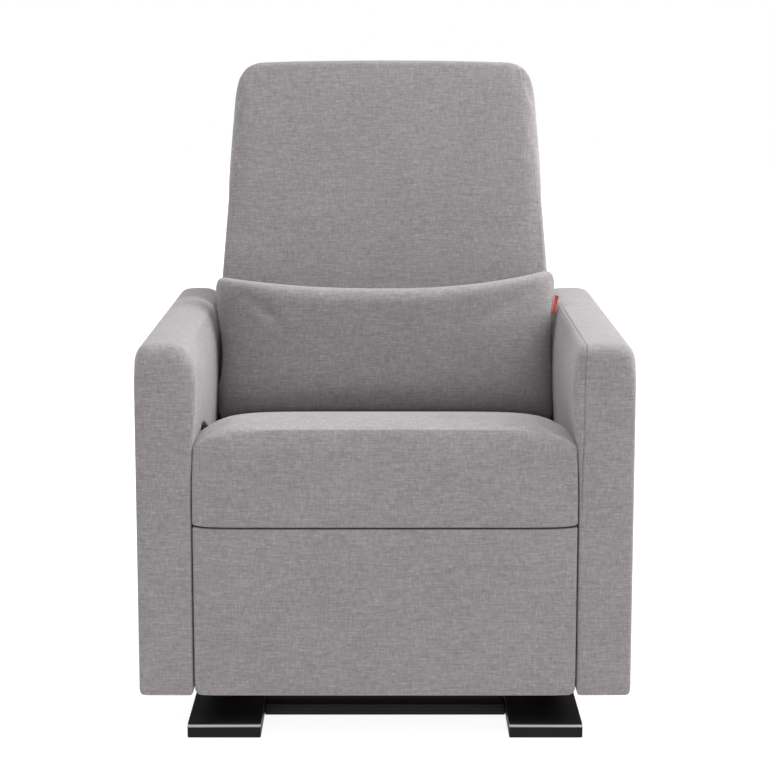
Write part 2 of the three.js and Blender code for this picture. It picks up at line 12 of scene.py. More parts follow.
import bmesh
import bpy
import numpy as np
from mathutils import Matrix, Vector
from mathutils.bvhtree import BVHTree
from mathutils.kdtree import KDTree


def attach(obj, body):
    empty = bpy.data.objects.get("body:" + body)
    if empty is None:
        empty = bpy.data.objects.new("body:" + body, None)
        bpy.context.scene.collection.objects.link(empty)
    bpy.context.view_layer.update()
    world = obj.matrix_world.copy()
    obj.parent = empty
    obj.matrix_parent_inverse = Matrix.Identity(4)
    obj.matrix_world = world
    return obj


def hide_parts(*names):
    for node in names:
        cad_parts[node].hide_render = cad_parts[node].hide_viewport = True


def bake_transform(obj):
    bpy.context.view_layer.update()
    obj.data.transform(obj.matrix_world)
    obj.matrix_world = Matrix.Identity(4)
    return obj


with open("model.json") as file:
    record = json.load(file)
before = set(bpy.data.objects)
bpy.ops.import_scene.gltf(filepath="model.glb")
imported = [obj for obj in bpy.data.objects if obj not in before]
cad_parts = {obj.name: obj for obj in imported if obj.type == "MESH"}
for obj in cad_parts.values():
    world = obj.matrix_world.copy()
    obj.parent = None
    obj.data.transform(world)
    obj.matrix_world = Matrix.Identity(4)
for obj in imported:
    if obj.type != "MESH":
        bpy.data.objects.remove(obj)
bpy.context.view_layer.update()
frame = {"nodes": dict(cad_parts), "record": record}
NODES = frame["nodes"]

MM = 0.001
X, Y, Z = 0, 1, 2
UPRIGHT = Matrix.Identity(4)
LEAN = math.radians(15)  # of the back, from the vertical
LEANING = Matrix.Rotation(-LEAN, 4, "X")  # local Z runs up the back, local Y runs rearward through it
BACK_FOOT = LEANING.inverted() @ Vector((0, 0.108, 0.500))  # the back's front face at the seat, in local axes


# ---------------------------------------------------------------- node helpers
class Graph:
    """Short names for building a node tree."""

    def __init__(self, tree):
        self.tree = tree

    def node(self, kind, **settings):
        made = self.tree.nodes.new(kind)
        for name, value in settings.items():
            setattr(made, name, value)
        return made

    def feed(self, socket, value):
        if isinstance(value, bpy.types.NodeSocket):
            self.tree.links.new(value, socket)
        else:
            socket.default_value = value

    def math(self, operation, *values, clamp=False):
        made = self.node("ShaderNodeMath", operation=operation, use_clamp=clamp)
        for socket, value in zip(made.inputs, values):
            self.feed(socket, value)
        return made.outputs[0]

    def mix(self, factor, a, b):
        made = self.node("ShaderNodeMix", data_type="RGBA")
        self.feed(made.inputs["Factor"], factor)
        self.feed(made.inputs["A"], a)
        self.feed(made.inputs["B"], b)
        return made.outputs["Result"]

    def noise(self, vector, scale, detail=2.0):
        made = self.node("ShaderNodeTexNoise")
        self.feed(made.inputs["Vector"], vector)
        made.inputs["Scale"].default_value = scale
        made.inputs["Detail"].default_value = detail
        return made.outputs["Fac"]

    def combine(self, x, y, z):
        made = self.node("ShaderNodeCombineXYZ")
        for socket, value in zip(made.inputs, (x, y, z)):
            self.feed(socket, value)
        return made.outputs[0]

    def separate(self, vector):
        made = self.node("ShaderNodeSeparateXYZ")
        self.feed(made.inputs[0], vector)
        return made.outputs

    def place(self):
        """The point's place in the object's own axes, in metres."""
        return self.node("ShaderNodeTexCoord").outputs["Object"]

    def facing(self):
        """The X, Y and Z of the surface's normal."""
        return self.separate(self.node("ShaderNodeTexCoord").outputs["Normal"])

    def stretched(self, vector, scale):
        made = self.node("ShaderNodeMapping")
        made.inputs["Scale"].default_value = scale
        self.feed(made.inputs["Vector"], vector)
        return made.outputs[0]

    def ramp(self, value, low, high):
        """0 below low, 1 above high and smooth between."""
        made = self.node("ShaderNodeMapRange", interpolation_type="SMOOTHSTEP")
        self.feed(made.inputs["Value"], value)
        made.inputs["From Min"].default_value = low
        made.inputs["From Max"].default_value = high
        return made.outputs["Result"]


def new_material(name):
    material = bpy.data.materials.new(name)
    material.use_nodes = True
    return material, Graph(material.node_tree), material.node_tree.nodes["Principled BSDF"]


def roughen(graph, shader, value, spread, base):
    """Roughness runs from base, where value is 0, to base + spread, where it is 1."""
    graph.feed(shader.inputs["Roughness"], graph.math("MULTIPLY_ADD", value, spread, base))


def bump(graph, shader, height, distance, strength):
    made = graph.node("ShaderNodeBump")
    made.inputs["Distance"].default_value = distance
    made.inputs["Strength"].default_value = strength
    graph.feed(made.inputs["Height"], height)
    graph.feed(shader.inputs["Normal"], made.outputs["Normal"])


# ---------------------------------------------------------------- camera, lights and floor
CAMERA_AT = (0, -3.8, 1.134)
CAMERA_DIP = 9.317  # degrees below the horizontal
LENS, SENSOR = 101.7, 36  # in millimetres

HORIZON = 0.40  # strength of the light from all round
OVERHEAD = 3.4  # strength that is added straight above
OVERHEAD_FOCUS = 4.0  # how closely that is gathered round the zenith
WHITE = (1, 1, 1, 1)

KEY_AT, KEY_AIM = (2.6, 0.1, 2.3), (0, 0, 0.55)
KEY_SIDE = 2.8
KEY_WATTS = 125

FLOOR_REACH = 14
FLOOR_GREY = (0.25, 0.25, 0.25, 1)
FLOOR_GLOW = 0.93


def make_camera():
    """Straight on, a little above the chair and looking down at it, from nearly four metres away."""
    data = bpy.data.cameras.new("camera")
    data.sensor_fit = "HORIZONTAL"
    data.sensor_width = SENSOR
    data.lens = LENS
    camera = bpy.data.objects.new("camera", data)
    bpy.context.scene.collection.objects.link(camera)
    camera.location = CAMERA_AT
    camera.rotation_euler = (math.radians(90 - CAMERA_DIP), 0, 0)
    bpy.context.scene.camera = camera


def make_world():
    """Soft light from all round that is much brighter straight overhead. The camera sees plain white."""
    world = bpy.data.worlds.new("studio")
    bpy.context.scene.world = world
    world.use_nodes = True
    world.node_tree.nodes.clear()
    graph = Graph(world.node_tree)
    height = graph.separate(graph.node("ShaderNodeTexCoord").outputs["Generated"])["Z"]
    overhead = graph.math("POWER", graph.math("MAXIMUM", height, 0.0), OVERHEAD_FOCUS)
    fill = graph.node("ShaderNodeBackground")
    seen = graph.node("ShaderNodeBackground")
    fill.inputs["Color"].default_value = WHITE
    seen.inputs["Color"].default_value = WHITE
    graph.feed(fill.inputs["Strength"], graph.math("MULTIPLY_ADD", overhead, OVERHEAD, HORIZON))
    either = graph.node("ShaderNodeMixShader")
    graph.feed(either.inputs[0], graph.node("ShaderNodeLightPath").outputs["Is Camera Ray"])
    graph.feed(either.inputs[1], fill.outputs[0])
    graph.feed(either.inputs[2], seen.outputs[0])
    graph.feed(graph.node("ShaderNodeOutputWorld").inputs["Surface"], either.outputs[0])


def make_key_light():
    """One large soft box high on the sitter's left."""
    data = bpy.data.lights.new("key", "AREA")
    data.shape = "RECTANGLE"
    data.size = KEY_SIDE
    data.size_y = KEY_SIDE
    data.energy = KEY_WATTS
    light = bpy.data.objects.new("key", data)
    bpy.context.scene.collection.objects.link(light)
    light.location = KEY_AT
    light.rotation_euler = (Vector(KEY_AIM) - Vector(KEY_AT)).to_track_quat("-Z", "Y").to_euler()


def make_floor():
    """A matt floor that glows almost white, so that it runs into the background and keeps a faint shadow."""
    reach = FLOOR_REACH
    corners = [(-reach, -reach, 0), (reach, -reach, 0), (reach, reach, 0), (-reach, reach, 0)]
    mesh = bpy.data.meshes.new("floor")
    mesh.from_pydata(corners, [], [(0, 1, 2, 3)])
    floor = bpy.data.objects.new("floor", mesh)
    bpy.context.scene.collection.objects.link(floor)
    material, _, shader = new_material("floor")
    shader.inputs["Base Color"].default_value = FLOOR_GREY
    shader.inputs["Roughness"].default_value = 1
    shader.inputs["Specular IOR Level"].default_value = 0
    shader.inputs["Emission Color"].default_value = WHITE
    shader.inputs["Emission Strength"].default_value = FLOOR_GLOW
    mesh.materials.append(material)


# ---------------------------------------------------------------- fabric
YARN = 1.25 * MM  # spacing of the woven yarns
# Slubs, the thick stretches of yarn: the axis they run along, seed, length, width and share in the tone.
SLUBS = (
    ("u", 3.1, 9 * MM, 2.8 * MM, 0.50),
    ("v", 8.7, 7 * MM, 3.0 * MM, 0.40),
    ("u", 21.3, 24 * MM, 2.6 * MM, 0.52),
    ("v", 34.9, 17 * MM, 2.6 * MM, 0.36),
)
SLUB_DETAIL = 0.6
PALE_FROM, PALE_TO = 0.08, 0.26  # slubs past this are paler still and stand up
PALE_TONE = 0.08
PALE_HEIGHT = 0.5
MEAN_TONE = 0.46
WEAVE_TONE = 0.07  # how much the yarn on top is lighter
FACING_POWER = 6.0  # sharpness of the change from one projection to the next
CLOUD_SCALE, CLOUD_TONE = 9.0, 0.22  # slow changes of tone over the piece
# Painted shade along the seams' grooves: how strongly it darkens the cloth, and how dark it gets.
SEAM_SHADE = 0.42
SEAM_SHADE_TONE = 0.28  # the painted shade in a seam's groove, as a share of the dark yarn's colour
LINEN_DARK, LINEN_LIGHT = (0.157, 0.145, 0.148, 1), (0.340, 0.319, 0.324, 1)

RED_DARK, RED_LIGHT = (0.26, 0.020, 0.020, 1), (0.50, 0.055, 0.050, 1)
SELVEDGE = (0.60, 0.30, 0.28, 1)
SELVEDGE_FROM, SELVEDGE_TO = 2.5 * MM, 3.2 * MM  # from the ribbon's middle line
RIB = 0.9 * MM


def linen_group():
    """One flat projection of the cloth. In: U and V in metres. Out: Tone, about 0.5, and Height of the
    yarns."""
    tree = bpy.data.node_groups.new("linen", "ShaderNodeTree")
    for name, way in (("U", "INPUT"), ("V", "INPUT"), ("Tone", "OUTPUT"), ("Height", "OUTPUT")):
        tree.interface.new_socket(name, in_out=way, socket_type="NodeSocketFloat")
    graph = Graph(tree)
    entry = graph.node("NodeGroupInput")
    leave = graph.node("NodeGroupOutput")
    u, v = entry.outputs["U"], entry.outputs["V"]

    slub = 0.0
    for axis, seed, length, width, share in SLUBS:
        along, across = (u, v) if axis == "u" else (v, u)
        along = graph.math("MULTIPLY", along, 1 / length)
        across = graph.math("MULTIPLY", across, 1 / width)
        streak = graph.noise(graph.combine(along, across, seed), 1.0, SLUB_DETAIL)
        streak = graph.math("SUBTRACT", streak, 0.5)
        slub = graph.math("ADD", slub, graph.math("MULTIPLY", streak, share))
    pale = graph.ramp(slub, PALE_FROM, PALE_TO)
    slub = graph.math("ADD", slub, graph.math("MULTIPLY", pale, PALE_TONE))

    # Plain weave: over and under yarns alternate like a chequer board, each one rounded across its width.
    wave_u = graph.math("SINE", graph.math("MULTIPLY", u, math.pi / YARN))
    wave_v = graph.math("SINE", graph.math("MULTIPLY", v, math.pi / YARN))
    over = graph.math("MULTIPLY", wave_u, wave_v)
    height = graph.math("MULTIPLY_ADD", over, 0.5, 0.5)
    tone = graph.math("MULTIPLY_ADD", over, WEAVE_TONE, graph.math("ADD", MEAN_TONE, slub))
    graph.feed(leave.inputs["Tone"], tone)
    graph.feed(leave.inputs["Height"], graph.math("MULTIPLY_ADD", pale, PALE_HEIGHT, height))
    return tree


def fabric(name):
    """Heathered plain weave, laid on each surface from the side that it faces. Seams drawn by sew() get
    painted shade along their grooves."""
    material, graph, shader = new_material(name)
    where = graph.place()
    x, y, z = graph.separate(where)
    weights = [graph.math("POWER", graph.math("ABSOLUTE", side), FACING_POWER) for side in graph.facing()]
    total = graph.math("ADD", graph.math("ADD", weights[X], weights[Y]), graph.math("ADD", weights[Z], 1e-4))
    tone, height = 0.0, 0.0
    for weight, (u, v) in zip(weights, ((y, z), (x, z), (x, y))):
        flat = graph.node("ShaderNodeGroup", node_tree=LINEN)
        graph.feed(flat.inputs["U"], u)
        graph.feed(flat.inputs["V"], v)
        share = graph.math("DIVIDE", weight, total)
        tone = graph.math("MULTIPLY_ADD", flat.outputs["Tone"], share, tone)
        height = graph.math("MULTIPLY_ADD", flat.outputs["Height"], share, height)
    cloud = graph.math("SUBTRACT", graph.noise(where, CLOUD_SCALE, 3.0), 0.5)
    shade = graph.math("MULTIPLY_ADD", cloud, CLOUD_TONE, tone, clamp=True)
    colour = graph.mix(shade, LINEN_DARK, LINEN_LIGHT)
    # Painted shade: darker along the seams' grooves, by the attribute that sew() writes.
    seam = graph.node("ShaderNodeAttribute", attribute_name="seam").outputs["Fac"]
    seam_shade_colour = [part * SEAM_SHADE_TONE for part in LINEN_DARK[:3]] + [1]
    colour = graph.mix(graph.math("MULTIPLY", seam, SEAM_SHADE), colour, seam_shade_colour)
    graph.feed(shader.inputs["Base Color"], colour)
    roughen(graph, shader, tone, 0.12, 0.86)
    shader.inputs["Specular IOR Level"].default_value = 0.18
    shader.inputs["Sheen Weight"].default_value = 0.25
    shader.inputs["Sheen Roughness"].default_value = 0.45
    bump(graph, shader, height, 0.35 * MM, 0.55)
    return material


def ribbon(name):
    """Ribbed red ribbon with paler selvedges along its two long sides."""
    material, graph, shader = new_material(name)
    where = graph.place()
    x, _, z = graph.separate(where)
    rib = graph.math("SINE", graph.math("MULTIPLY", z, 2 * math.pi / RIB))
    rib = graph.math("MULTIPLY_ADD", rib, 0.5, 0.5)
    fuzz = graph.noise(where, 900.0)
    red = graph.mix(graph.math("MULTIPLY", graph.math("ADD", rib, fuzz), 0.5), RED_DARK, RED_LIGHT)
    border = graph.ramp(graph.math("ABSOLUTE", x), SELVEDGE_FROM, SELVEDGE_TO)
    graph.feed(shader.inputs["Base Color"], graph.mix(graph.math("MULTIPLY", border, 0.6), red, SELVEDGE))
    roughen(graph, shader, fuzz, 0.2, 0.6)
    bump(graph, shader, rib, 0.2 * MM, 0.5)
    return material


# ---------------------------------------------------------------- hard materials
BRUSHED = (260, 9, 260)  # scale of the brush grain, long along Y
# Painted edge highlight: the pale colour that the lacquer's rounded upper edges are mixed towards, standing
# in for the light they catch.
PAINTED_EDGE_HIGHLIGHT = (0.48, 0.47, 0.46, 1)
FIGURE = (70, 6, 70)  # scale of the plywood's figure, long along Y
PLY_DARK, PLY_LIGHT = (0.30, 0.19, 0.10, 1), (0.52, 0.37, 0.22, 1)
PLY_PORE = (0.16, 0.10, 0.05, 1)
WORN = (0.22, 0.22, 0.22, 1)


def lacquered_wood(name, dark, light, highlight_share):
    """Black satin lacquer over board: faint brush grain along Y, a slightly uneven gloss, and a painted
    highlight along the upper front and rear edges, as strong as the last argument."""
    material, graph, shader = new_material(name)
    where = graph.place()
    grain = graph.noise(graph.stretched(where, BRUSHED), 1.0, 3.0)
    cloud = graph.noise(where, 14.0, 3.0)
    colour = graph.mix(graph.math("MULTIPLY", grain, cloud), dark, light)
    # Painted highlight: where the normal tilts between upward and forward or rearward, the colour is
    # lightened towards the highlight colour.
    _, end, up = graph.facing()
    past_edge = graph.math("SUBTRACT", 1.0, graph.ramp(up, 0.62, 0.90))
    edge = graph.math("MULTIPLY", graph.ramp(up, 0.30, 0.58), past_edge)
    at_end = graph.ramp(graph.math("ABSOLUTE", end), 0.2, 0.5)
    painted_highlight = graph.math("MULTIPLY", graph.math("MULTIPLY", edge, at_end), highlight_share)
    graph.feed(shader.inputs["Base Color"], graph.mix(painted_highlight, colour, PAINTED_EDGE_HIGHLIGHT))
    roughen(graph, shader, cloud, 0.16, 0.30)
    shader.inputs["Specular IOR Level"].default_value = 0.07
    bump(graph, shader, grain, 0.12 * MM, 0.25)
    return material


def plywood(name):
    """Bare ply: long figure along the board and fine dark pores."""
    material, graph, shader = new_material(name)
    stretched = graph.stretched(graph.place(), FIGURE)
    figure = graph.noise(stretched, 1.0, 4.0)
    pores = graph.noise(stretched, 9.0)
    colour = graph.mix(graph.ramp(figure, 0.3, 0.72), PLY_DARK, PLY_LIGHT)
    colour = graph.mix(graph.math("MULTIPLY", graph.ramp(pores, 0.6, 0.75), 0.5), colour, PLY_PORE)
    graph.feed(shader.inputs["Base Color"], colour)
    roughen(graph, shader, figure, 0.2, 0.62)
    bump(graph, shader, pores, 0.2 * MM, 0.4)
    return material


def coated(name, dark, light, rough, speckle, metallic=0.0):
    """Powder coat, bare wire, rubber or moulded plastic: a fine speckled grain and paler worn edges."""
    material, graph, shader = new_material(name)
    where = graph.place()
    peel = graph.noise(where, speckle)
    cloud = graph.noise(where, 22.0, 3.0)
    colour = graph.mix(graph.math("MULTIPLY", graph.math("ADD", peel, cloud), 0.5), dark, light)
    edge = graph.node("ShaderNodeNewGeometry").outputs["Pointiness"]
    worn = graph.math("MULTIPLY", graph.ramp(edge, 0.54, 0.66), 0.4)
    graph.feed(shader.inputs["Base Color"], graph.mix(worn, colour, WORN))
    roughen(graph, shader, cloud, 0.18, rough)
    shader.inputs["Metallic"].default_value = metallic
    bump(graph, shader, peel, 0.15 * MM, 0.3)
    return material


LINEN = linen_group()
GREY = fabric("grey_linen")
PILLOW_GREY = fabric("pillow_linen")
RED = ribbon("red_ribbon")
# The last argument is the strength of the painted edge highlight.
BLACK_WOOD = lacquered_wood("black_lacquer", (0.010, 0.0098, 0.0098, 1), (0.021, 0.0205, 0.0205, 1), 1.0)
# The cross rails: the runners' black lacquer painted lighter, standing in for the light on the rails.
RAIL_WOOD_PAINTED_LIGHTER = lacquered_wood("rail_lacquer_painted_lighter", (0.018, 0.0175, 0.0175, 1), (0.029, 0.0282, 0.0282, 1), 0.08)
PLY = plywood("plywood")
STEEL = coated("powder_coat", (0.012, 0.012, 0.013, 1), (0.035, 0.035, 0.037, 1), rough=0.38, speckle=900)
WIRE = coated(
    "spring_wire", (0.28, 0.28, 0.29, 1), (0.50, 0.50, 0.51, 1), rough=0.3, speckle=1500, metallic=1.0
)
RUBBER = coated("rubber", (0.012, 0.012, 0.012, 1), (0.03, 0.03, 0.03, 1), rough=0.75, speckle=1400)
PLASTIC = coated(
    "black_plastic", (0.003, 0.003, 0.003, 1), (0.008, 0.008, 0.008, 1), rough=0.55, speckle=2200
)

SLOT_MATERIALS = {
    "base_wood": BLACK_WOOD,
    "frame_wood": PLY,
    "steel": STEEL,
    "spring_steel": WIRE,
    "floor_pad": RUBBER,
    "pull": PLASTIC,
    "tag": RED,
    "upholstery": GREY,
    "pillow_fabric": PILLOW_GREY,
}
BODY_OF = {node: body for body, nodes in frame["record"]["behaviour"]["bodies"].items() for node in nodes}
SLOT_OF = {row["node"]: row["material_slot"] for row in frame["record"]["subparts"]}


def paint_cad():
    """Each CAD node that stays gets a material of its own. The cross rails get a copy of the black lacquer
    with a paler colour, which is painted light, and only a trace of the painted edge highlight.
    """
    for node, slot in SLOT_OF.items():
        materials = NODES[node].data.materials
        materials.clear()
        rail = node.startswith("base_cross_rail")
        materials.append(RAIL_WOOD_PAINTED_LIGHTER if rail else SLOT_MATERIALS[slot])


# ---------------------------------------------------------------- lattice blocks
CELL = 8 * MM  # lattice spacing of the padded pieces before they are subdivided
GATHER = 0.62  # share by which the lattice rows close up at the edges


def smooth(value, low, high):
    """0 below low, 1 above high and an even curve between."""
    share = np.clip((value - low) / (high - low), 0, 1)
    return share * share * (3 - 2 * share)


def hump(value, low, high):
    """0 at low and high and beyond them, 1 halfway."""
    return np.sin(np.pi * np.clip((value - low) / (high - low), 0, 1))


def changing(axis, low, high, start, end):
    """A radius for rounded(): start where the distance from 0 along axis is under low, end where it is over
    high."""
    return lambda points: start + (end - start) * smooth(np.abs(points[:, axis]), low, high)


def lattice(counts):
    """Vertices in [-1, 1]^3 and quads of a box surface cut into counts cells along each axis."""
    index, points, faces = {}, [], []

    def vertex(key):
        if key not in index:
            index[key] = len(points)
            points.append([2 * key[axis] / counts[axis] - 1 for axis in (X, Y, Z)])
        return index[key]

    for axis in (X, Y, Z):
        b, c = (axis + 1) % 3, (axis + 2) % 3
        for end in (0, counts[axis]):
            for i in range(counts[b]):
                for j in range(counts[c]):
                    corners = []
                    for di, dj in ((0, 0), (1, 0), (1, 1), (0, 1)):
                        key = [0, 0, 0]
                        key[axis], key[b], key[c] = end, i + di, j + dj
                        corners.append(vertex(tuple(key)))
                    faces.append(corners if end else corners[::-1])
    return np.array(points), faces


def rounded(unit, low, high, radii):
    """Lays a unit lattice over the box from low to high and rounds its edges. radii = ((x-, x+), (y-, y+),
    (z-, z+)), each a number or a function of the points."""
    points = (low + high) / 2 + unit * (high - low) / 2
    radius = np.zeros_like(points)
    inner = np.zeros_like(points)
    for k in (X, Y, Z):
        near, far = (r(points) if callable(r) else r for r in radii[k])
        radius[:, k] = np.where(points[:, k] < (low[k] + high[k]) / 2, near, far)
        inner[:, k] = np.clip(points[:, k], low[k] + near, high[k] - far)
    outward = (points - inner) / radius
    length = np.linalg.norm(outward, axis=1)
    outward *= (np.abs(outward).max(1) / np.where(length > 0, length, 1))[:, None]
    return inner + outward * radius


def smooth_shaded(mesh):
    mesh.polygons.foreach_set("use_smooth", [True] * len(mesh.polygons))


def new_object(name, mesh, lay):
    made = bpy.data.objects.new(name, mesh)
    bpy.context.scene.collection.objects.link(made)
    made.matrix_world = lay
    return made


def soft_object(name, points, faces, lay):
    mesh = bpy.data.meshes.new(name)
    mesh.from_pydata(points.tolist(), [], faces)
    smooth_shaded(mesh)
    return new_object(name, mesh, lay)


def block(name, low, high, radii, lay=UPRIGHT, warp=None, cell=CELL):
    """A rounded lattice block between two corners. Its rows are gathered towards the edges."""
    low, high = np.array(low, float), np.array(high, float)
    unit, faces = lattice([max(4, round(float(side) / cell)) for side in high - low])
    unit = unit + GATHER * np.sin(np.pi * unit) / np.pi
    points = rounded(unit, low, high, radii)
    return soft_object(name, warp(points) if warp else points, faces, lay)


def local_box(node, lay):
    """The lowest and highest corners of a CAD node in the axes of lay."""
    back = np.array(lay.inverted())[:3, :3]
    points = np.array([v.co for v in NODES[node].data.vertices]) @ back.T
    return points.min(0), points.max(0)


def coordinates(mesh):
    flat = np.zeros(len(mesh.vertices) * 3)
    mesh.vertices.foreach_get("co", flat)
    return flat.reshape(-1, 3)


def set_coordinates(mesh, points):
    mesh.vertices.foreach_set("co", np.ascontiguousarray(points, np.float64).ravel())
    mesh.update()


# ---------------------------------------------------------------- swelling, refining and sewing
SIM_FRAMES = 20
CLOTH = {
    "quality": 4,
    "mass": 0.3,
    "tension_stiffness": 12,
    "compression_stiffness": 12,
    "shear_stiffness": 4,
    "bending_stiffness": 0.6,
    "air_damping": 2,
    "use_pressure": True,
}

SEAM_REFINED = 5 * MM  # how far from a seam the mesh is cut finer
SEAM_REACH = 9 * MM  # how far from a seam it is moved
# A seam's cross section, in widths of its groove, and its ridges' height as a share of the groove's depth.
RIDGE_AT, RIDGE_WIDTH, SHADE_WIDTH = 2.6, 1.4, 0.7
RIDGE_SHARE = 0.35

# A padded piece that waits for its swelling: no point moves further than cap under pressure, and hold
# gives 1 at the points that stay where they are.
Padding = namedtuple("Padding", "made cap pressure hold")


def hold_edges(low, high, reach):
    """Holds the points near the edges of a box, where panels are sewn together."""

    def hold(points):
        gaps = np.sort(np.minimum(points - low, high - points), axis=1)
        return (gaps[:, 1] < reach).astype(float)

    return hold


def add_cloth(piece):
    group = piece.made.vertex_groups.new(name="held")
    held = piece.hold(coordinates(piece.made.data))
    for i in np.nonzero(held > 0)[0]:
        group.add([int(i)], float(held[i]), "REPLACE")
    cloth = piece.made.modifiers.new("cloth", "CLOTH")
    for name, value in CLOTH.items():
        setattr(cloth.settings, name, value)
    cloth.settings.uniform_pressure_force = piece.pressure
    cloth.settings.vertex_group_mass = group.name
    cloth.settings.effector_weights.gravity = 0
    cloth.collision_settings.use_collision = False
    cloth.point_cache.frame_start = 1
    cloth.point_cache.frame_end = SIM_FRAMES


def inflate(pieces):
    """Cloth pressure on all pieces at once, applied to their meshes."""
    for piece in pieces:
        add_cloth(piece)
    scene = bpy.context.scene
    for step in range(1, SIM_FRAMES + 1):
        scene.frame_set(step)
    graph = bpy.context.evaluated_depsgraph_get()
    for made, cap, _, _ in pieces:
        swollen = coordinates(made.evaluated_get(graph).data)
        points = coordinates(made.data)
        move = swollen - points
        far = np.linalg.norm(move, axis=1)
        move *= (cap * np.tanh(far / cap) / np.maximum(far, 1e-9))[:, None]
        made.modifiers.clear()
        made.vertex_groups.clear()
        set_coordinates(made.data, points + move)
    scene.frame_set(1)


def refine(made):
    """One level of subdivision, applied."""
    modifier = made.modifiers.new("refine", "SUBSURF")
    modifier.levels = modifier.render_levels = 1
    graph = bpy.context.evaluated_depsgraph_get()
    mesh = bpy.data.meshes.new_from_object(made.evaluated_get(graph), depsgraph=graph)
    made.modifiers.clear()
    made.data = mesh
    smooth_shaded(mesh)


def points_along(paths, surface):
    """Points on the surface beside the paths' straight stretches, about a millimetre apart."""
    points = []
    for path in paths:
        for a, b in zip(path, path[1:]):
            a, b = Vector(a), Vector(b)
            steps = max(1, int((b - a).length / MM))
            points += [surface.find_nearest(a.lerp(b, k / steps))[0] for k in range(steps)]
    return points


def distance_to(points):
    """A function of a place that gives how far it is from the nearest of the points."""
    tree = KDTree(len(points))
    for i, point in enumerate(points):
        tree.insert(point, i)
    tree.balance()
    return lambda place: tree.find(place)[2]


def cut_finer(mesh, gap_to_seam):
    """Halves every edge of the faces beside a seam."""
    edges = {
        edge
        for face in mesh.faces
        if gap_to_seam(face.calc_center_median()) < SEAM_REFINED
        for edge in face.edges
    }
    bmesh.ops.subdivide_edges(mesh, edges=list(edges), cuts=1, use_grid_fill=True)


def sew(made, paths, depth, width, shade, rounds):
    """Draws seams along paths, given as points near the surface in the piece's own axes: a groove between
    two low ridges, and a point attribute by which the fabric paints shade along the groove. The mesh beside
    them is first cut finer, rounds times."""
    vertices = [vertex.co for vertex in made.data.vertices]
    surface = BVHTree.FromPolygons(vertices, [polygon.vertices for polygon in made.data.polygons])
    gap_to_seam = distance_to(points_along(paths, surface))
    mesh = bmesh.new()
    mesh.from_mesh(made.data)
    for _ in range(rounds):
        cut_finer(mesh, gap_to_seam)
    layer = mesh.verts.layers.float.new("seam")
    mesh.normal_update()
    moves = []
    for vert in mesh.verts:
        gap = gap_to_seam(vert.co)
        if gap < SEAM_REACH:
            groove = math.exp(-((gap / width) ** 2))
            ridge = RIDGE_SHARE * math.exp(-(((gap / width - RIDGE_AT) / RIDGE_WIDTH) ** 2))
            moves.append((vert, vert.normal * depth * (ridge - groove)))
            # How strongly the fabric paints shade here: most in the groove.
            vert[layer] = shade * math.exp(-((gap / width / SHADE_WIDTH) ** 2))
    for vert, move in moves:
        vert.co += move
    mesh.to_mesh(made.data)
    mesh.free()
    smooth_shaded(made.data)


def dress(made, body, node, material):
    """What every padded piece needs: its material, its body, and the CAD solid it stands for hidden."""
    made.data.materials.append(material)
    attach(made, body)
    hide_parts(node)


# ---------------------------------------------------------------- seat and footrest
SEAT_SIDE = 0.3065  # half its width
SEAT_FRONT = -0.432
SEAT_CROWN = 0.516  # height of its highest line, which runs across it at CROWN_Y
CROWN_Y = -0.350
REAR_SLOPE, SLOPE_RUN = 0.178, 0.030  # fall per metre behind the crown, and the run over which it sets in
FRONT_FALL = 0.007  # from the crown to the front edge
SIDE_FALL, SIDE_RUN = 0.029, 0.030  # at the sides, and how quickly it fades inward
SEAT_CURL, PANEL_CURL = 0.005, 0.0045  # rise of the shared seam's two corners
CURL_RUN = 0.016
SEAT_TUCK = 0.030  # how far the rear's lower edge is drawn forward
SEAT_SNUG = 0.0045  # share by which the upper half is narrower
PANEL_OUT, PANEL_UP = 1.3 * MM, 3.2 * MM  # how far the footrest's cover stands past its CAD solid


def from_side(x, half):
    return np.maximum(half - np.abs(x), 0)


def seat_top(x, y):
    """Height of the seat: highest just behind its front edge, falling to the sides and sloping rearward."""
    behind = np.maximum(y - CROWN_Y, 0)
    ahead = np.clip((CROWN_Y - y) / (CROWN_Y - SEAT_FRONT), 0, 1)
    slope = REAR_SLOPE * (np.sqrt(behind**2 + SLOPE_RUN**2) - SLOPE_RUN) + FRONT_FALL * ahead**2
    return SEAT_CROWN - SIDE_FALL * np.exp(-from_side(x, SEAT_SIDE) / SIDE_RUN) - slope


def make_seat():
    low, high = local_box("seat_cushion", UPRIGHT)
    low[X], high[X], high[Z] = -SEAT_SIDE, SEAT_SIDE, SEAT_CROWN

    def warp(points):
        x, y, z = points.T
        up = np.clip((z - low[Z]) / (high[Z] - low[Z]), 0, 1)
        sag = (SEAT_CROWN - seat_top(x, y)) * up**2
        curl = SEAT_CURL * np.exp(-from_side(x, SEAT_SIDE) / CURL_RUN) * np.clip(1 - up * 4, 0, 1)
        rear = np.clip((y - low[Y]) / (high[Y] - low[Y]), 0, 1) ** 8
        snug = 1 - SEAT_SNUG * smooth(z, 0.40, 0.48)
        return np.stack([x * snug, y - (1 - up) * SEAT_TUCK * rear, z - sag + curl], 1)

    front = changing(Z, 0.46, 0.50, 0.004, 0.013)
    top = changing(X, SEAT_SIDE - 0.07, SEAT_SIDE - 0.01, 0.012, 0.004)
    radii = ((0.004, 0.004), (front, 0.014), (0.003, top))
    made = block("seat_pad", low, high, radii, warp=warp)
    dress(made, "chair_body", "seat_cushion", GREY)
    return Padding(made, 4 * MM, 2.0, hold_edges(low, high, 0.008))


